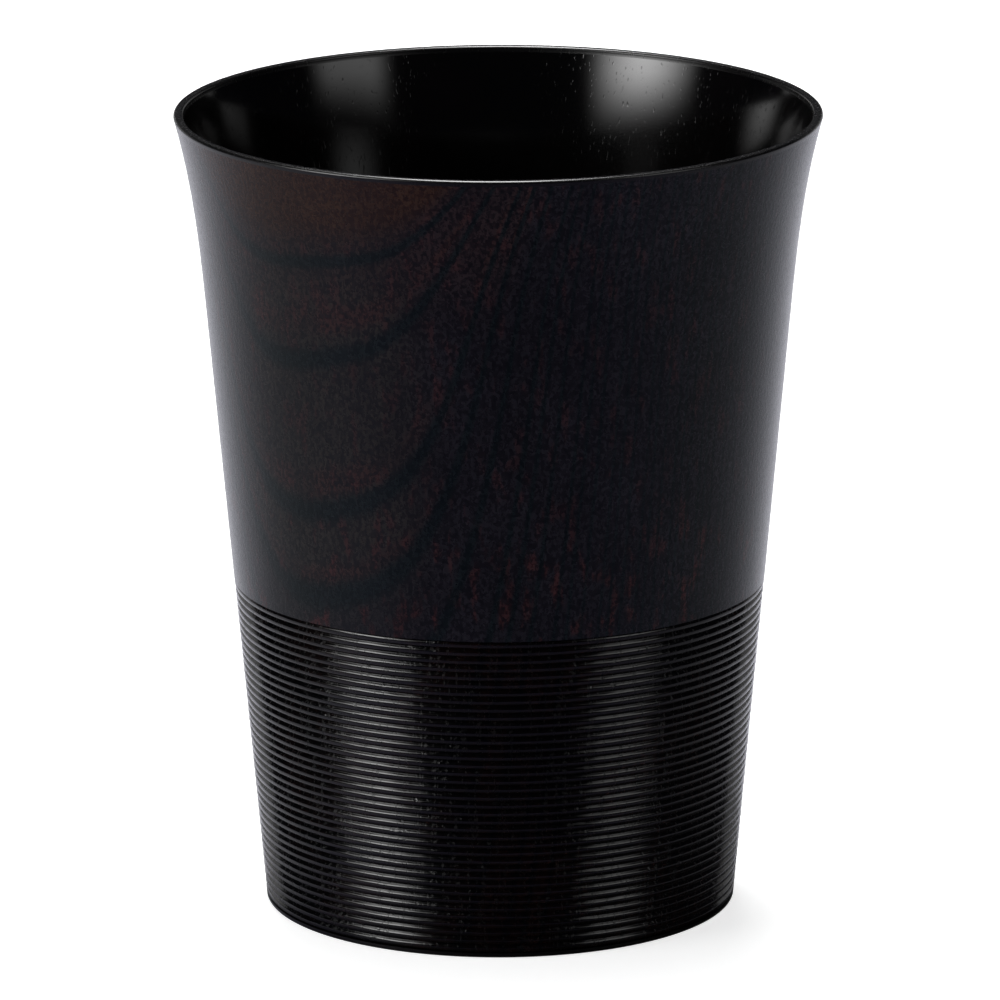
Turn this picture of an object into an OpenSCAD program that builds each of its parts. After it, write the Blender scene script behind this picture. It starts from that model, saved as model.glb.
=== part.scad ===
// Lacquered wooden cup: a body turned from one block of wood, and the lacquer coats that cover it.
// The axis of the cup is Z, it stands on z = 0, and all sizes are in millimetres.

/* [Cup] */
// Height over the lip
cup_h = 100; // [85:1:115]
// Outside diameter of the mouth
mouth_d = 80; // [76:1:90]
// Outside diameter of the foot
foot_d = 58.4; // [52:0.2:64]
// How far the mouth flares beyond the straight taper, measured on the radius
flare = 1.6; // [0:0.1:3]
// Height where the flare starts
flare_z = 74; // [55:1:80]

/* [Wall] */
// Thickness of the lip
lip_t = 1.2; // [1:0.1:2]
// Radius of the two edges of the lip
lip_edge_r = 0.35; // [0.3:0.05:0.45]
// Thickness of the wall down at the table
foot_wall_t = 3.6; // [2.4:0.1:5]
// Height of the inside floor above the table
floor_z = 7; // [4:0.5:12]
// Radius of the corner between inside wall and floor
corner_r = 10; // [4:0.5:16]

/* [Turned lines] */
// Number of raised lines round the lower wall
line_count = 39; // [4:1:45]
// Distance from one line to the next
line_pitch = 1.04; // [0.9:0.01:1.1]
// Depth of the groove between two lines
line_depth = 0.3; // [0.2:0.02:0.4]

/* [Foot] */
// Height of the plain band under the lowest line
band_h = 0.6; // [0.6:0.05:2]
// Radius of the lower edge of the band
edge_r = 0.4; // [0.3:0.05:0.45]
// Width of the ring that the cup stands on
ring_w = 4.5; // [3:0.5:8]
// Depth of the hollow under the foot
hollow_h = 1.2; // [0.5:0.1:2]
// How far the wall of the hollow leans in
hollow_lean = 1.5; // [0.5:0.1:3]

/* [Lacquer] */
// Thickness of the lacquer
coat_t = 0.15; // [0.1:0.01:0.2]
// Height of the black coat that wraps the lip
rim_coat_h = 0.7; // [0.6:0.1:4]

/* [Hidden] */
$fn = 128;

// The flare grows with this power of the height above its start.
flare_power = 3;
// Steps that the flare and the round corners are drawn with
flare_steps = 16;
arc_steps = 10;
lip_z = cup_h - lip_edge_r;
rim_coat_z = cup_h - rim_coat_h;
// In the lacquer each line is an arc as wide as the pitch and as high as the groove is deep.
line_r = (line_pitch * line_pitch / 4 + line_depth * line_depth) / (2 * line_depth);
// In the wood it is a ridge with a flat crest, cut by grooves that leave room for the lacquer.
crest_w = 0.34 * line_pitch;
ridge_w = 0.76 * line_pitch;
groove_d = line_depth + coat_t;
lines_top = band_h + line_count * line_pitch;
function line_z(k) = band_h + (k + 0.5) * line_pitch;
hollow_r = foot_d / 2 - ring_w;
floor_middle = (hollow_h + floor_z) / 2;

// Outside radius at height z: a straight taper, and the flare above its start
taper = ((mouth_d - foot_d) / 2 - flare) / lip_z;
function flare_at(z) = flare * pow(max(0, z - flare_z) / (lip_z - flare_z), flare_power);
function wall_r(z) = foot_d / 2 + taper * z + flare_at(z);
// The wall thins evenly from the table to the lip.
thinning = (foot_wall_t - lip_t) / lip_z;
function wall_t(z) = foot_wall_t - thinning * z;
function inside_r(z) = wall_r(z) - wall_t(z);

function arc(centre, r, from, to) =
    [for (k = [0:arc_steps]) let (a = from + (to - from) * k / arc_steps)
        centre + r * [cos(a), sin(a)]];
// Heights from a start up to an end, with steps only where the wall is curved
function heights(start, end) =
    concat([start], [for (k = [0:flare_steps]) flare_z + (end - flare_z) * k / flare_steps]);
function backwards(list) = [for (k = [len(list) - 1:-1:0]) list[k]];

// The inside corner touches the floor and the tapered inside wall.
inside_slope = taper + thinning;
inside_lean = atan(inside_slope);
corner_z = floor_z + corner_r;
corner_x = inside_r(corner_z) - corner_r / cos(inside_lean);
corner_top = corner_z - corner_r * sin(inside_lean);

// Half section of the cup, set back from the finished surface by an inset.
// The lower wall is cut back to the bottom of the grooves, and the lines are added to it.
module section(inset) {
    hollow = [
        [0, hollow_h + inset],
        [hollow_r - hollow_lean + inset, hollow_h + inset],
        [hollow_r + inset, inset]
    ];
    foot = arc([wall_r(edge_r) - edge_r, edge_r], edge_r - inset, -90, 0);
    lower_wall = [
        [wall_r(band_h) - inset, band_h - inset],
        [wall_r(band_h) - groove_d, band_h - inset],
        [wall_r(lines_top) - groove_d, lines_top + inset]
    ];
    upper_wall = [for (z = heights(lines_top + inset, lip_z)) [wall_r(z) - inset, z]];
    lip = concat(
        arc([mouth_d / 2 - lip_edge_r, lip_z], lip_edge_r - inset, 0, 90),
        arc([mouth_d / 2 - lip_t + lip_edge_r, lip_z], lip_edge_r - inset, 90, 180)
    );
    inside_wall = backwards([for (z = heights(corner_top, lip_z)) [inside_r(z) + inset, z]]);
    corner = arc([corner_x, corner_z], corner_r + inset, -inside_lean, -90);
    floor_point = [[0, floor_z - inset]];
    polygon(concat(hollow, foot, lower_wall, upper_wall, lip, inside_wall, corner, floor_point));
    children();
}

// Lines as the lacquer leaves them
module rounded_lines() {
    for (k = [0:line_count - 1])
        translate([wall_r(line_z(k)) - line_r, line_z(k)])
            circle(line_r);
}

// Lines as they are cut in the wood
module cut_lines() {
    half = [[-line_r, ridge_w / 2], [-groove_d, ridge_w / 2], [-coat_t, crest_w / 2]];
    lower_half = [for (p = half) [p.x, -p.y]];
    for (k = [0:line_count - 1])
        translate([wall_r(line_z(k)), line_z(k)])
            polygon(concat(lower_half, backwards(half)));
}

module finished_section() {
    section(0)
        rounded_lines();
}

module wood_section() {
    section(coat_t)
        cut_lines();
}

// Half section of all the lacquer
module lacquer() {
    difference() {
        finished_section();
        wood_section();
    }
}

// Zone from the middle of the wall to a reach, between two heights
module beside_wall(low, high, reach) {
    middle = [for (z = heights(low, high)) [wall_r(z) - wall_t(z) / 2, z]];
    polygon(concat(middle, [[reach, high], [reach, low]]));
}

module turned_wood_body() {
    color([0.27, 0.16, 0.11])
        rotate_extrude()
            wood_section();
}

module inner_lacquer_coat() {
    color([0.05, 0.05, 0.05])
        rotate_extrude()
            intersection() {
                lacquer();
                beside_wall(floor_middle, rim_coat_z, 0);
            }
}

module rim_lacquer_coat() {
    color([0.09, 0.08, 0.08])
        rotate_extrude()
            intersection() {
                lacquer();
                translate([0, rim_coat_z])
                    square([mouth_d, cup_h]);
            }
}

module upper_lacquer_coat() {
    color([0.2, 0.13, 0.12])
        rotate_extrude()
            intersection() {
                lacquer();
                beside_wall(lines_top, rim_coat_z, mouth_d);
            }
}

module ribbed_lacquer_coat() {
    color([0.12, 0.09, 0.09])
        rotate_extrude()
            intersection() {
                lacquer();
                translate([foot_d / 2 - ring_w, band_h])
                    square([mouth_d, lines_top - band_h]);
                beside_wall(0, rim_coat_z, mouth_d);
            }
}

module base_lacquer_coat() {
    color([0.07, 0.06, 0.06])
        rotate_extrude()
            intersection() {
                lacquer();
                union() {
                    square([foot_d, band_h]);
                    square([hollow_r, floor_middle]);
                }
            }
}

turned_wood_body();
inner_lacquer_coat();
rim_lacquer_coat();
upper_lacquer_coat();
ribbed_lacquer_coat();
base_lacquer_coat();
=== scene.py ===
import math

import bpy
import numpy as np
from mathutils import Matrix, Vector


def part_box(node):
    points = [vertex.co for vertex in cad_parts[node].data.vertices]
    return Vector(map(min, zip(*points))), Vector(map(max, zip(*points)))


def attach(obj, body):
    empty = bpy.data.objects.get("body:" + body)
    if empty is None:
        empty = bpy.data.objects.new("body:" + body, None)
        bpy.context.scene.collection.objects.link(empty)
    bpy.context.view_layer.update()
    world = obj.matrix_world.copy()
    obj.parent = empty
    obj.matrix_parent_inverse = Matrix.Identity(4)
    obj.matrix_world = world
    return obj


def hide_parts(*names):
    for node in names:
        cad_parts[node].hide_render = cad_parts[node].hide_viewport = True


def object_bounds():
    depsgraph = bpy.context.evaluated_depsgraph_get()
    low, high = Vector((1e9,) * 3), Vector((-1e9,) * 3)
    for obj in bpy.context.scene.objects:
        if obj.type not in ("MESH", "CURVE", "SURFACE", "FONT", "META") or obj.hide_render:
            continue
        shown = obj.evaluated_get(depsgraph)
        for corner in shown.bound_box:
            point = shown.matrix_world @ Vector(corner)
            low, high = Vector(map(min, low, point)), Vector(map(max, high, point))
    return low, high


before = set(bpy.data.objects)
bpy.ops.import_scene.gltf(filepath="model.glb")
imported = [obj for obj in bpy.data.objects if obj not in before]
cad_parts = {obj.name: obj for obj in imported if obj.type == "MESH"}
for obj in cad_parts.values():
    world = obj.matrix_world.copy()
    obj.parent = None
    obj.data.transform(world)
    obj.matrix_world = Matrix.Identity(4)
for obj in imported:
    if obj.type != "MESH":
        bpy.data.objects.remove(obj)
cadLow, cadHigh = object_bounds()
mm = 0.001

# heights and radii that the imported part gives, in millimetres
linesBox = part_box("ribbed_lacquer_coat")
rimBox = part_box("rim_lacquer_coat")
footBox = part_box("base_lacquer_coat")
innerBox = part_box("inner_lacquer_coat")
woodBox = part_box("turned_wood_body")
cupHeight = cadHigh.z / mm
mouthRadius = min(-cadLow.x, cadHigh.x, -cadLow.y, cadHigh.y) / mm
linesLow, linesTop = linesBox[0].z / mm, linesBox[1].z / mm
rimLow = rimBox[0].z / mm
coatThick = woodBox[0].z / mm
hollowHigh = footBox[1].z / mm - coatThick
floorHigh = innerBox[0].z / mm + coatThick

# form of the turned wall
cup = {
    "footRadius": 29.2,     # outside, where the taper meets the table
    "flare": 1.6,           # extra radius at the lip
    "flareStart": 74.0,     # height where the wall leaves the straight taper
    "flarePower": 3,
    "lipThick": 1.2,
    "lipEdge": 0.35,        # radius of the two edges of the lip
    "footWall": 3.6,        # wall thickness down at the table
    "around": 240,          # steps round the axis
    "sharp": 34.0,          # an edge that turns by more degrees stays sharp
}
lipHeight = cupHeight - cup["lipEdge"]
taper = (mouthRadius - cup["flare"] - cup["footRadius"]) / lipHeight
thinning = (cup["footWall"] - cup["lipThick"]) / lipHeight
print("frame loaded, cup", round(cupHeight, 2), "mm tall and", round(2 * mouthRadius, 2), "mm across")


# outside radius: straight taper, plus a flare that grows with a power of the height above its start
def wallRadius(z):
    above = np.maximum(0, z - cup["flareStart"]) / (lipHeight - cup["flareStart"])
    return cup["footRadius"] + taper * z + cup["flare"] * above ** cup["flarePower"]


# inside radius: the wall thins evenly from the table to the lip
def insideRadius(z):
    return wallRadius(z) - (cup["footWall"] - thinning * z)


# points of a circle arc in the half section
def arcPoints(centreR, centreZ, radius, fromDeg, toDeg, steps):
    a = np.radians(np.linspace(fromDeg, toDeg, steps))
    return np.column_stack([centreR + radius * np.cos(a), centreZ + radius * np.sin(a)])


# a half section turned about the axis: point = (r sin a, -r cos a, z), rows follow the section
# a section that starts and ends on the axis gets one vertex at each pole, any other is closed on itself
def turnedPiece(name, section, poles):
    # twice the area that the section runs round: where it is negative, the faces would point inwards
    r, z = section.T
    if np.sum(r * np.roll(z, -1) - np.roll(r, -1) * z) < 0:
        section = section[::-1]
    around = cup["around"]
    a = np.linspace(0, 2 * np.pi, around, endpoint=False)
    rings = section[1:-1] if poles else section
    r, z = rings[:, :1], rings[:, 1:]
    x, y = r * np.sin(a), -r * np.cos(a)
    verts = np.stack([x, y, np.broadcast_to(z, x.shape)], axis=-1).reshape(-1, 3)
    rows = np.arange(len(rings) - 1 if poles else len(rings))[:, None]
    cols = np.arange(around)[None, :]
    nextCol = (cols + 1) % around
    here, nextRow = rows * around, (rows + 1) % len(rings) * around
    quads = np.stack([here + cols, here + nextCol, nextRow + nextCol, nextRow + cols], axis=-1)
    faces = quads.reshape(-1, 4).tolist()
    if poles:
        first, last = len(verts), len(verts) + 1
        verts = np.vstack([verts, [[0, 0, section[0, 1]], [0, 0, section[-1, 1]]]])
        ring, after = np.arange(around), np.roll(np.arange(around), -1)
        end = (len(rings) - 1) * around
        faces += np.column_stack([np.full(around, first), after, ring]).tolist()
        faces += np.column_stack([np.full(around, last), end + ring, end + after]).tolist()
    mesh = bpy.data.meshes.new(name)
    mesh.from_pydata((verts * mm).tolist(), [], faces)
    mesh.shade_smooth()
    mesh.set_sharp_from_angle(angle=math.radians(cup["sharp"]))
    piece = bpy.data.objects.new(name, mesh)
    bpy.context.scene.collection.objects.link(piece)
    return piece


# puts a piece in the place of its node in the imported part
def settle(piece, node, material):
    piece.data.materials.append(material)
    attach(piece, "root")
    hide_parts(node)
    print(piece.name, len(piece.data.polygons), "faces")


# small helpers for shader nodes: a value is a number or another node's socket
def feed(tree, socket, value):
    if isinstance(value, bpy.types.NodeSocket):
        tree.links.new(value, socket)
    else:
        socket.default_value = value


def calc(tree, operation, *values):
    n = tree.nodes.new("ShaderNodeMath")
    n.operation = operation
    for k, value in enumerate(values):
        feed(tree, n.inputs[k], value)
    return n.outputs[0]


def vecCalc(tree, operation, *values):
    n = tree.nodes.new("ShaderNodeVectorMath")
    n.operation = operation
    for k, value in enumerate(values):
        feed(tree, n.inputs["Scale"] if operation == "SCALE" and k == 1 else n.inputs[k], value)
    return n.outputs["Value"] if operation in ("LENGTH", "DOT_PRODUCT") else n.outputs["Vector"]


# smooth step of a value from low to high, as a value from toLow to toHigh
def between(tree, value, low, high, toLow=0.0, toHigh=1.0):
    n = tree.nodes.new("ShaderNodeMapRange")
    n.interpolation_type = "SMOOTHSTEP"
    feed(tree, n.inputs["Value"], value)
    feed(tree, n.inputs["From Min"], low)
    feed(tree, n.inputs["From Max"], high)
    feed(tree, n.inputs["To Min"], toLow)
    feed(tree, n.inputs["To Max"], toHigh)
    return n.outputs[0]


def mixColour(tree, amount, a, b):
    n = tree.nodes.new("ShaderNodeMix")
    n.data_type = "RGBA"
    feed(tree, n.inputs["Factor"], amount)
    for name, colour in (("A", a), ("B", b)):
        isSocket = isinstance(colour, bpy.types.NodeSocket)
        feed(tree, n.inputs[name], colour if isSocket else (*colour, 1.0))
    return n.outputs["Result"]


# noise whose grains have the given sizes in millimetres along x, y and z
def grainNoise(tree, place, size, detail=2.0, roughness=0.5):
    n = tree.nodes.new("ShaderNodeTexNoise")
    n.inputs["Scale"].default_value = 1.0
    n.inputs["Detail"].default_value = detail
    n.inputs["Roughness"].default_value = roughness
    tree.links.new(vecCalc(tree, "MULTIPLY", place, tuple(1 / s for s in size)), n.inputs["Vector"])
    return n.outputs["Fac"]


def newMaterial(name):
    material = bpy.data.materials.new(name)
    material.use_nodes = True
    tree = material.node_tree
    return material, tree, tree.nodes["Principled BSDF"]


def bumpTo(tree, shader, height, distance):
    n = tree.nodes.new("ShaderNodeBump")
    n.inputs["Strength"].default_value = 1.0
    n.inputs["Distance"].default_value = distance
    tree.links.new(height, n.inputs["Height"])
    tree.links.new(n.outputs["Normal"], shader.inputs["Normal"])


# growth rings of the block, which was cut with its grain along the axis: they cross the cup nearly flat
# sizes are in millimetres; a noise has a grain size and the values between which its marks come in
growth = {
    "across": (-0.6035, -0.7974, 0.0),  # direction in which the ring number grows
    "along": (0.7974, -0.6035, 0.0),    # direction of the long wave in the rings
    "wave": (2.266, 58.286, 15.323),    # its height, length and start
    "start": 31.119,                    # where one ring ends
    "ring": 1.395,                      # mean ring width
    "uneven": (0.1994, 4.2, 0.5065),    # wide and narrow years: share of a ring, length and start
    "shift": 0.0988,
    "lineThick": (30.5, 33.0, 0.17, 0.125),  # half thickness of a dark line: inner and outer rings
    "lineEdge": (0.35, 1.65, 1.0, 0.0),      # shares of it over which the line fades out
    "riseUp": (0.1, 0.2),               # share of a ring past its dark line where the red comes in
    "riseDown": (0.28, 0.44, 1.0, 0.0),  # and where it goes out
    "fibreSize": (0.5, 0.5, 7.0),
    "fibre": 0.14,                      # how far fibres push the rings about
    "speckSize": (0.48, 0.48, 0.6),
    "speck": (0.3, 0.7),
    "fleckSize": (1.8, 1.8, 5.0),
    "fleck": (0.53, 0.66),
    "patchSize": (8.0, 8.0, 11.0),
    "patch": (0.3, 0.7),
    "streakSize": (0.45, 0.45, 5.0),
    "streak": (0.5, 0.66),
    "pitSize": (0.9, 0.9, 0.6),
    "pitFrom": 0.81,
    "pitNear": (0.04, 0.26, 0.2, 0.0),  # more pits near a dark line
    "poreSize": (0.26, 0.26, 1.6),
    "poreFrom": 0.67,
}


# height * sin of the place along a wave
def waveOf(tree, value, height, length, start):
    angle = calc(tree, "MULTIPLY", calc(tree, "SUBTRACT", value, start), 2 * math.pi / length)
    return calc(tree, "MULTIPLY", calc(tree, "SINE", angle), height)


# how far a noise rises above a value
def amountAbove(tree, noise, value):
    return calc(tree, "MAXIMUM", calc(tree, "SUBTRACT", noise, value), 0.0)


# depth = place across the rings + long wave + fibres
# ring number = (depth - start) / ring width + slow unevenness; a dark latewood line is where it is whole
def woodGrain(tree):
    coords = tree.nodes.new("ShaderNodeTexCoord")
    place = vecCalc(tree, "SCALE", coords.outputs["Object"], 1 / mm)
    depth = vecCalc(tree, "DOT_PRODUCT", place, growth["across"])
    along = vecCalc(tree, "DOT_PRODUCT", place, growth["along"])
    depth = calc(tree, "ADD", depth, waveOf(tree, along, *growth["wave"]))
    fibre = calc(tree, "SUBTRACT", grainNoise(tree, place, growth["fibreSize"], 3.0, 0.55), 0.5)
    depth = calc(tree, "MULTIPLY_ADD", fibre, growth["fibre"], depth)
    even = calc(tree, "DIVIDE", calc(tree, "SUBTRACT", depth, growth["start"]), growth["ring"])
    height, length, start = growth["uneven"]
    start = growth["start"] + start * length / (2 * math.pi)
    year = waveOf(tree, depth, height, length, start)
    # rings per millimetre: one over the ring width + slope of the unevenness
    slope = waveOf(tree, depth, height * 2 * math.pi / length, length, start - length / 4)
    slope = calc(tree, "ADD", slope, 1 / growth["ring"])
    ring = calc(tree, "ADD", calc(tree, "ADD", even, year), growth["shift"])
    past = calc(tree, "SUBTRACT", ring, calc(tree, "ROUND", ring))
    off = calc(tree, "ABSOLUTE", past)
    thick = between(tree, depth, *growth["lineThick"])
    inLine = calc(tree, "DIVIDE", calc(tree, "DIVIDE", off, slope), thick)
    riseUp = between(tree, past, *growth["riseUp"])
    riseDown = between(tree, past, *growth["riseDown"])
    speck = grainNoise(tree, place, growth["speckSize"], 2.0, 0.6)
    fleck = grainNoise(tree, place, growth["fleckSize"], 2.0, 0.6)
    streak = grainNoise(tree, place, growth["streakSize"], 2.0, 0.6)
    patch = grainNoise(tree, place, growth["patchSize"], 2.0)
    pit = grainNoise(tree, place, growth["pitSize"], 1.0)
    pit = calc(tree, "ADD", pit, between(tree, off, *growth["pitNear"]))
    pore = grainNoise(tree, place, growth["poreSize"], 1.0)
    return {
        "place": place,
        "height": vecCalc(tree, "DOT_PRODUCT", place, (0.0, 0.0, 1.0)),
        "along": along,
        "depth": depth,
        "band": between(tree, inLine, *growth["lineEdge"]),
        "rise": calc(tree, "MULTIPLY", riseUp, riseDown),
        "speck": between(tree, speck, *growth["speck"]),
        "fleck": between(tree, fleck, *growth["fleck"]),
        "streak": between(tree, streak, *growth["streak"]),
        "patch": between(tree, patch, *growth["patch"]),
        "pit": amountAbove(tree, pit, growth["pitFrom"]),
        "pore": amountAbove(tree, pore, growth["poreFrom"]),
    }


# satin lacquer on the smooth wall: red-brown specks of wood under dark lacquer
# a pair of numbers is where something begins and ends, in depth, along the wave or in height
satin = {
    "dark": (0.0024, 0.0016, 0.0026),
    "light": (0.012, 0.0088, 0.0078),   # pale specks in the outer rings on the left: partly the wood, partly a painted sheen of the left panel
    "oldDark": (0.0013, 0.0008, 0.0014),
    "old": (0.0074, 0.0056, 0.0089),    # and in the inner ones
    "oldTo": (29.5, 32.0),
    # the pale specks fade out over this span towards the right, so the left side is paler: painted sheen
    # of the left panel
    "leftSheenTo": (8.0, 17.5, 1.0, 0.0),
    "farSide": (-32.0, -28.5, 1.0, 0.0),  # where the block is cut along its rings again, at the back
    "rise": (0.019, 0.0066, 0.0062),    # redder just past a dark line, more in some patches
    "risePatch": (0.0, 1.0, 0.3, 1.0),
    "riseHigh": (78.0, 92.0),           # towards the lip this goes on into rings further in
    "riseFrom": (30.0, 31.5),
    "warm": 0.5,                        # and there the whole ring is redder by this share
    "fleck": (0.028, 0.0062, 0.0068),   # more flecks low on the wall
    "fleckLow": (44.0, 62.0, 1.0, 0.5),
    "young": (0.02, 0.007, 0.0028),     # the outermost rings are the reddest and have no dark lines
    "youngDark": (0.007, 0.0016, 0.001),
    "youngFrom": (35.45, 36.3),
    "youngLine": (0.0, 0.7, 0.9, 0.0),
    "band": (0.0022, 0.0042, 0.0054),
    "bandDark": (0.0002, 0.0011, 0.0014),
    "oldLine": (10.0, 31.0, 0.85, 1.0),  # the dark lines are fainter in the inner rings
    "speckPatch": (0.0, 1.0, 0.6, 0.95),
    "streak": 0.25,
    "roughness": (0.24, 0.29),
    "gloss": 0.25,
    "sheen": (0.8, 0.95, 1.0),          # tint of the mirrored light
    "speckDepth": 0.000008,
}


def satinLacquer():
    material, tree, shader = newMaterial("satinLacquer")
    g = woodGrain(tree)
    young = between(tree, g["depth"], *satin["youngFrom"])
    # outer rings, paler on the left with painted sheen of the left panel, and the far side
    outer = between(tree, g["along"], *satin["leftSheenTo"])
    outer = calc(tree, "MULTIPLY", outer, between(tree, g["depth"], *satin["oldTo"]))
    outer = calc(tree, "MAXIMUM", outer, between(tree, g["depth"], *satin["farSide"]))
    high = between(tree, g["height"], *satin["riseHigh"])
    high = calc(tree, "MULTIPLY", high, between(tree, g["depth"], *satin["riseFrom"]))
    rise = calc(tree, "MULTIPLY", g["rise"], between(tree, g["patch"], *satin["risePatch"]))
    rise = calc(tree, "MULTIPLY", rise, calc(tree, "MAXIMUM", outer, high))
    rise = calc(tree, "MAXIMUM", rise, calc(tree, "MULTIPLY", high, satin["warm"]))
    fleck = calc(tree, "MULTIPLY", g["fleck"], between(tree, g["height"], *satin["fleckLow"]))
    band = calc(tree, "MULTIPLY", g["band"], between(tree, young, *satin["youngLine"]))
    band = calc(tree, "MULTIPLY", band, between(tree, g["depth"], *satin["oldLine"]))
    light = mixColour(tree, outer, satin["old"], satin["light"])
    light = mixColour(tree, rise, light, satin["rise"])
    light = mixColour(tree, fleck, light, satin["fleck"])
    light = mixColour(tree, young, light, satin["young"])
    light = mixColour(tree, band, light, satin["band"])
    dark = mixColour(tree, outer, satin["oldDark"], satin["dark"])
    dark = mixColour(tree, young, dark, satin["youngDark"])
    dark = mixColour(tree, band, dark, satin["bandDark"])
    amount = calc(tree, "MULTIPLY", g["speck"], between(tree, g["patch"], *satin["speckPatch"]))
    amount = calc(tree, "MULTIPLY_ADD", g["streak"], satin["streak"], amount)
    tree.links.new(mixColour(tree, amount, dark, light), shader.inputs["Base Color"])
    roughness = between(tree, g["speck"], 0.0, 1.0, *satin["roughness"])
    tree.links.new(roughness, shader.inputs["Roughness"])
    shader.inputs["Specular IOR Level"].default_value = satin["gloss"]
    shader.inputs["Specular Tint"].default_value = (*satin["sheen"], 1.0)
    bumpTo(tree, shader, g["speck"], satin["speckDepth"])
    return material


# gloss lacquer over the turned lines, pitted where the cutting tool tore the fibres
ribbed = {
    "dark": (0.0006, 0.0005, 0.0005),
    "light": (0.0035, 0.0012, 0.0009),
    "band": (0.0004, 0.0004, 0.0005),
    "roughness": (0.12, 0.26),          # smooth, and in a pit or pore
    "tornFull": 0.06,
    "streak": 0.2,                      # added in upright streaks, which break the highlights
    "depth": 0.0003,
    "pit": -0.5,                        # shares of the depth: round pits, pores and wavering of a line
    "pore": -0.2,
    "waver": 0.25,
    "waverSize": (4.0, 4.0, 1.0),
}


def ribbedLacquer():
    material, tree, shader = newMaterial("ribbedLacquer")
    g = woodGrain(tree)
    amount = calc(tree, "MULTIPLY", g["speck"], g["patch"])
    colour = mixColour(tree, amount, ribbed["dark"], ribbed["light"])
    colour = mixColour(tree, g["band"], colour, ribbed["band"])
    tree.links.new(colour, shader.inputs["Base Color"])
    torn = calc(tree, "MAXIMUM", g["pit"], g["pore"])
    roughness = between(tree, torn, 0.0, ribbed["tornFull"], *ribbed["roughness"])
    roughness = calc(tree, "MULTIPLY_ADD", g["streak"], ribbed["streak"], roughness)
    tree.links.new(roughness, shader.inputs["Roughness"])
    waver = grainNoise(tree, g["place"], ribbed["waverSize"], 1.0)
    height = calc(tree, "MULTIPLY", waver, ribbed["waver"])
    height = calc(tree, "MULTIPLY_ADD", g["pit"], ribbed["pit"], height)
    height = calc(tree, "MULTIPLY_ADD", g["pore"], ribbed["pore"], height)
    bumpTo(tree, shader, height, ribbed["depth"])
    return material


# gloss black lacquer inside, over the lip and under the foot, with the open pores of the wood in it
black = {
    "dark": (0.0008, 0.0008, 0.0008),
    "light": (0.0015, 0.0012, 0.0012),
    "roughness": {"inner": (0.11, 0.2), "rim": (0.27, 0.32), "base": (0.3, 0.38)},
    "deeper": (15.0, 45.0, 0.5),        # deep inside the gloss is less
    "tornFull": 0.05,
    "poreDepth": {"inner": 0.00006, "rim": 0.000004, "base": 0.00005},
}


def blackLacquer(where):
    material, tree, shader = newMaterial(where + "Lacquer")
    g = woodGrain(tree)
    colour = mixColour(tree, g["patch"], black["dark"], black["light"])
    tree.links.new(colour, shader.inputs["Base Color"])
    smooth, torn = black["roughness"][where]
    if where == "inner":
        smooth = between(tree, g["height"], *black["deeper"], smooth)
    roughness = between(tree, g["pore"], 0.0, black["tornFull"], smooth, torn)
    tree.links.new(roughness, shader.inputs["Roughness"])
    bumpTo(tree, shader, calc(tree, "MULTIPLY", g["pore"], -1.0), black["poreDepth"][where])
    return material


# bare wood of the body, under the lacquer
bareWood = {
    "light": (0.2, 0.11, 0.065),
    "dark": (0.12, 0.065, 0.04),
    "band": (0.08, 0.04, 0.024),
    "roughness": 0.6,
}


def turnedWood():
    material, tree, shader = newMaterial("turnedWood")
    g = woodGrain(tree)
    colour = mixColour(tree, g["speck"], bareWood["dark"], bareWood["light"])
    colour = mixColour(tree, g["band"], colour, bareWood["band"])
    tree.links.new(colour, shader.inputs["Base Color"])
    shader.inputs["Roughness"].default_value = bareWood["roughness"]
    return material


# smooth wall: the outside from the lines to the lip coat, and back down on the wood
upper = {"steps": 64, "backSteps": 24}


def upperSection():
    up = np.linspace(linesTop, rimLow, upper["steps"])
    outside = np.column_stack([wallRadius(up), up])
    down = np.linspace(rimLow, linesTop, upper["backSteps"])
    inside = np.column_stack([wallRadius(down) - coatThick, down])
    return np.vstack([outside, inside])


# turned lines: a round crest, and straight flanks down to the groove
# radius of the crest = (half the pitch * tan flank - depth) * cos flank / (1 - cos flank)
lines = {"count": 39, "depth": 0.3, "flank": 42.0, "steps": 8, "backSteps": 40}


def ribbedSection():
    pitch = (linesTop - linesLow) / lines["count"]
    flank = math.radians(lines["flank"])
    reach = pitch / 2 * math.tan(flank) - lines["depth"]
    crest = reach * math.cos(flank) / (1 - math.cos(flank))
    tilt = np.linspace(-flank, flank, lines["steps"])
    rise = np.append(-pitch / 2, crest * np.sin(tilt))
    sink = np.append(lines["depth"], crest * (1 - np.cos(tilt)))
    middle = linesLow + (np.arange(lines["count"])[:, None] + 0.5) * pitch
    z = (middle + rise).ravel()
    outside = np.column_stack([wallRadius(z) - np.tile(sink, lines["count"]), z])
    top = [[wallRadius(linesTop) - lines["depth"], linesTop]]
    down = np.linspace(linesTop, linesLow, lines["backSteps"])
    inside = np.column_stack([wallRadius(down) - lines["depth"] - coatThick, down])
    return np.vstack([outside, top, inside])


# lip: the outside of the lip coat, a flat top between two round edges, and the inside
lip = {"steps": 13}


def rimSection():
    edge = cup["lipEdge"]
    outerR, innerR = mouthRadius - edge, mouthRadius - cup["lipThick"] + edge

    def skin(back):
        return np.vstack([
            [[wallRadius(rimLow) - back, rimLow]],
            arcPoints(outerR, lipHeight, edge - back, 0, 90, lip["steps"]),
            arcPoints(innerR, lipHeight, edge - back, 90, 180, lip["steps"]),
            [[insideRadius(rimLow) + back, rimLow]],
        ])

    return np.vstack([skin(0.0), skin(coatThick)[::-1]])


# inside: floor, round corner and wall, and back on the wood
inner = {"corner": 10.0, "cornerSteps": 18, "floorSteps": 5, "wallSteps": 59}


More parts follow.
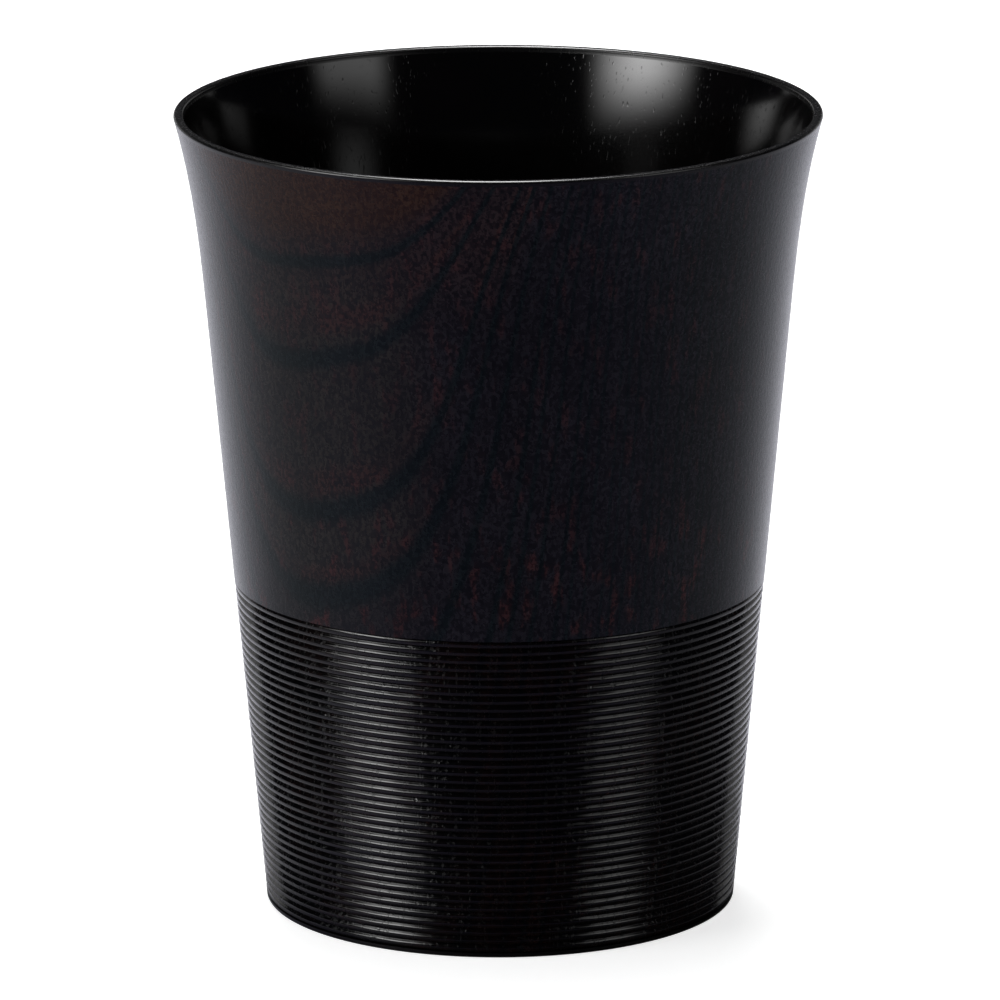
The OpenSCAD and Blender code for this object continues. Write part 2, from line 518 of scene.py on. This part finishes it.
def innerSection():
    lean = math.atan(taper + thinning)
    cornerZ = floorHigh + inner["corner"]
    cornerR = insideRadius(cornerZ) - inner["corner"] / math.cos(lean)
    wallLow = cornerZ - inner["corner"] * math.sin(lean)
    r = np.linspace(0, cornerR, inner["floorSteps"] + 1)[:-1]
    z = np.linspace(wallLow, rimLow, inner["wallSteps"] + 1)[1:]

    def skin(back):
        radius = inner["corner"] + back
        return np.vstack([
            np.column_stack([r, np.full(len(r), floorHigh - back)]),
            arcPoints(cornerR, cornerZ, radius, -90, -math.degrees(lean), inner["cornerSteps"]),
            np.column_stack([insideRadius(z) + back, z]),
        ])

    return np.vstack([skin(0.0), skin(coatThick)[::-1]])


# foot: hollow, ring, rounded edge and plain band, and back on the wood
foot = {"edge": 0.4, "ring": 4.5, "hollowLean": 1.5, "edgeSteps": 9, "hollowSteps": 6}


def baseSection():
    hollowR = cup["footRadius"] - foot["ring"]
    edgeR = wallRadius(foot["edge"]) - foot["edge"]
    bandR = wallRadius(linesLow)
    grooveR = bandR - lines["depth"] - coatThick

    def skin(back):
        r = np.linspace(0, hollowR - foot["hollowLean"] + back, foot["hollowSteps"])
        return np.vstack([
            np.column_stack([r, np.full(len(r), hollowHigh + back)]),
            [[hollowR + back, back]],
            arcPoints(edgeR, foot["edge"], foot["edge"] - back, -90, 0, foot["edgeSteps"]),
        ])

    under = linesLow - coatThick
    band = [[bandR, linesLow], [grooveR, linesLow], [grooveR, under], [bandR - coatThick, under]]
    return np.vstack([skin(0.0), band, skin(coatThick)[::-1]])


upperWall = turnedPiece("upperWall", upperSection(), False)
settle(upperWall, "upper_lacquer_coat", satinLacquer())
turnedLines = turnedPiece("turnedLines", ribbedSection(), False)
settle(turnedLines, "ribbed_lacquer_coat", ribbedLacquer())
lipCoat = turnedPiece("lip", rimSection(), False)
settle(lipCoat, "rim_lacquer_coat", blackLacquer("rim"))
insideCoat = turnedPiece("inside", innerSection(), True)
settle(insideCoat, "inner_lacquer_coat", blackLacquer("inner"))
footCoat = turnedPiece("foot", baseSection(), True)
settle(footCoat, "base_lacquer_coat", blackLacquer("base"))

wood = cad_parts["turned_wood_body"]
wood.data.materials.clear()
wood.data.materials.append(turnedWood())
print("pieces and finishes made")


# one flat face of the studio, with a material of its own
def sheet(name, corners, materialName):
    mesh = bpy.data.meshes.new(name)
    mesh.from_pydata(corners, [], [(0, 1, 2, 3)])
    piece = bpy.data.objects.new(name, mesh)
    bpy.context.scene.collection.objects.link(piece)
    material, tree, shader = newMaterial(materialName)
    mesh.materials.append(material)
    return piece, tree, shader


# corners of a level square round the origin
def square(half, z):
    return [(-half, -half, z), (half, -half, z), (half, half, z), (-half, half, z)]


# pale floor, kept out of mirror reflections so that the black lacquer stays black
floor = {"half": 3.5, "level": -0.00005, "colour": (0.5, 0.5, 0.5), "roughness": 0.9, "glow": 0.75}


def paleFloor():
    piece, _, shader = sheet("floor", square(floor["half"], floor["level"]), "paleFloor")
    shader.inputs["Base Color"].default_value = (*floor["colour"], 1.0)
    shader.inputs["Roughness"].default_value = floor["roughness"]
    shader.inputs["Emission Color"].default_value = (1.0, 1.0, 1.0, 1.0)
    shader.inputs["Emission Strength"].default_value = floor["glow"]
    piece.visible_glossy = False
    piece.visible_shadow = False


# the table as the lacquer mirrors it, painted into the glow of a sheet that only mirror reflections see:
# dim in front of the cup, brighter round the sides, white behind, with a painted shadow of the cup round
# the foot
# c is how far a place lies behind the cup, from -1 in front to 1 at the back
# strength = front + side * (1 + c) up to c = 0, and from there + back * power of c
tableGlow = {
    "half": 2.0,
    "level": -0.001,
    "front": 0.084,
    "side": 0.245,
    "back": 0.86,
    "backPower": 1.7,
    "leftLitShare": 0.3,               # painted light: the left side, lit by the strong left panel, is brighter by this share, the right side dimmer
    "shareLoss": -1.25,             # less so towards the back
    "paintedShadowFade": (0.030, 0.060),     # painted shadow of the cup: dark round the foot
    "paintedShadowShift": 0.012,             # the painted shadow lies a little to the right, away from the left panel
    "frontTint": (0.85, 0.75, 1.3),
    "backTint": (1.0, 1.0, 1.1),
}


def mirroredTable():
    corners = square(tableGlow["half"], tableGlow["level"])
    piece, tree, shader = sheet("mirroredTable", corners, "mirroredTable")
    place = tree.nodes.new("ShaderNodeTexCoord").outputs["Object"]
    flat = vecCalc(tree, "MULTIPLY", place, (1.0, 1.0, 0.0))
    away = vecCalc(tree, "NORMALIZE", flat)
    shifted = vecCalc(tree, "SUBTRACT", flat, (tableGlow["paintedShadowShift"], 0.0, 0.0))
    far = vecCalc(tree, "LENGTH", shifted)
    behind = vecCalc(tree, "DOT_PRODUCT", away, (0.0, 1.0, 0.0))
    hind = calc(tree, "POWER", calc(tree, "MAXIMUM", behind, 0.0), tableGlow["backPower"])
    ahead = calc(tree, "MINIMUM", behind, 0.0)
    level = tableGlow["front"] + tableGlow["side"]
    strength = calc(tree, "MULTIPLY_ADD", ahead, tableGlow["side"], level)
    strength = calc(tree, "MULTIPLY_ADD", hind, tableGlow["back"], strength)
    # painted shadow of the cup round the foot
    strength = calc(tree, "MULTIPLY", strength, between(tree, far, *tableGlow["paintedShadowFade"]))
    # painted light: brighter on the left side
    left = vecCalc(tree, "DOT_PRODUCT", away, (-tableGlow["leftLitShare"], 0.0, 0.0))
    left = calc(tree, "MULTIPLY", left, calc(tree, "MULTIPLY_ADD", hind, tableGlow["shareLoss"], 1.0))
    strength = calc(tree, "MULTIPLY_ADD", strength, left, strength)
    toBack = between(tree, behind, -1.0, 0.0)
    tint = mixColour(tree, toBack, tableGlow["frontTint"], tableGlow["backTint"])
    shader.inputs["Base Color"].default_value = (0.0, 0.0, 0.0, 1.0)
    tree.links.new(tint, shader.inputs["Emission Color"])
    tree.links.new(strength, shader.inputs["Emission Strength"])
    piece.visible_camera = False
    piece.visible_diffuse = False
    piece.visible_shadow = False


# panels of light, upright or laid flat; turn is the tilt and the turn about Z in degrees
# radiance = full radiance * fade towards both sides * rise over the lower part * fall to a share on top
panels = {
    "left": {"place": (-0.383, -0.222, 0.148), "turn": (0, -59.9), "half": 0.211, "edge": 1.0,
             "tall": 0.37, "rise": 0.127, "top": 0.08, "radiance": 14.6},
    "right": {"place": (0.433, -0.249, 0.171), "turn": (0, 60.1), "half": 0.17, "edge": 0.58,
              "tall": 0.43, "rise": 0.114, "top": 0.22, "radiance": 2.0},
    "leftBack": {"place": (-0.5, 0.866, 0.02), "turn": (0, -150), "half": 0.375, "edge": 0.3,
                 "tall": 0.28, "rise": 0.05, "top": 1.0, "radiance": 0.45},
    "rightBack": {"place": (0.5, 0.866, 0.02), "turn": (0, 150), "half": 0.375, "edge": 0.3,
                  "tall": 0.28, "rise": 0.05, "top": 1.0, "radiance": 0.3},
    "overhead": {"place": (-0.05, -0.2, 1.0), "turn": (-90, 0), "half": 0.25, "edge": 0.6,
                 "tall": 1.0, "rise": 0.1, "top": 1.0, "radiance": 18.0},
}


def lightPanel(name, panel):
    half, tall = panel["half"], panel["tall"]
    corners = [(-half, 0, 0), (half, 0, 0), (half, 0, tall), (-half, 0, tall)]
    piece, tree, shader = sheet(name, corners, name + "Light")
    tilt, turn = panel["turn"]
    piece.location = panel["place"]
    piece.rotation_euler = (math.radians(tilt), 0, math.radians(turn))
    apart = tree.nodes.new("ShaderNodeSeparateXYZ")
    tree.links.new(tree.nodes.new("ShaderNodeTexCoord").outputs["Object"], apart.inputs[0])
    across = calc(tree, "ABSOLUTE", apart.outputs["X"])
    fade = between(tree, across, half * (1 - panel["edge"]), half, panel["radiance"], 0.0)
    lift = between(tree, apart.outputs["Z"], 0.0, panel["rise"])
    fall = between(tree, apart.outputs["Z"], 0.0, tall, 1.0, panel["top"])
    bright = calc(tree, "MULTIPLY", calc(tree, "MULTIPLY", fade, lift), fall)
    tree.links.new(bright, shader.inputs["Emission Strength"])
    shader.inputs["Emission Color"].default_value = (1.0, 1.0, 1.0, 1.0)
    shader.inputs["Base Color"].default_value = (0.0, 0.0, 0.0, 1.0)
    piece.visible_camera = False
    piece.visible_shadow = False


world = {"colour": (0.008, 0.008, 0.012), "strength": 1.0}


def studioLight():
    for name, panel in panels.items():
        lightPanel(name, panel)
    sky = bpy.data.worlds.new("studio")
    sky.use_nodes = True
    background = sky.node_tree.nodes["Background"]
    background.inputs["Color"].default_value = (*world["colour"], 1.0)
    background.inputs["Strength"].default_value = world["strength"]
    bpy.context.scene.world = sky


# camera: a long lens, looking a little down
camera = {
    "pitch": 14.33,         # degrees below the horizon
    "roll": -0.15,
    "distance": 1.3,
    "aim": (0.0001, 0.0, 0.05058),
    "lens": 376.7,
    "sensor": 36.0,
    "clip": (0.01, 20.0),
}


def photoCamera():
    data = bpy.data.cameras.new("camera")
    data.lens = camera["lens"]
    data.sensor_width = camera["sensor"]
    data.clip_start, data.clip_end = camera["clip"]
    eye = bpy.data.objects.new("camera", data)
    pitch = math.radians(camera["pitch"])
    x, y, z = camera["aim"]
    back, up = camera["distance"] * math.cos(pitch), camera["distance"] * math.sin(pitch)
    eye.location = (x, y - back, z + up)
    eye.rotation_euler = (math.radians(90) - pitch, 0, 0)
    eye.rotation_euler.rotate_axis("Z", math.radians(camera["roll"]))
    bpy.context.scene.collection.objects.link(eye)
    bpy.context.scene.camera = eye


paleFloor()
mirroredTable()
studioLight()
photoCamera()
bpy.context.scene.view_settings.view_transform = "Standard"
print("floor, light and camera set")
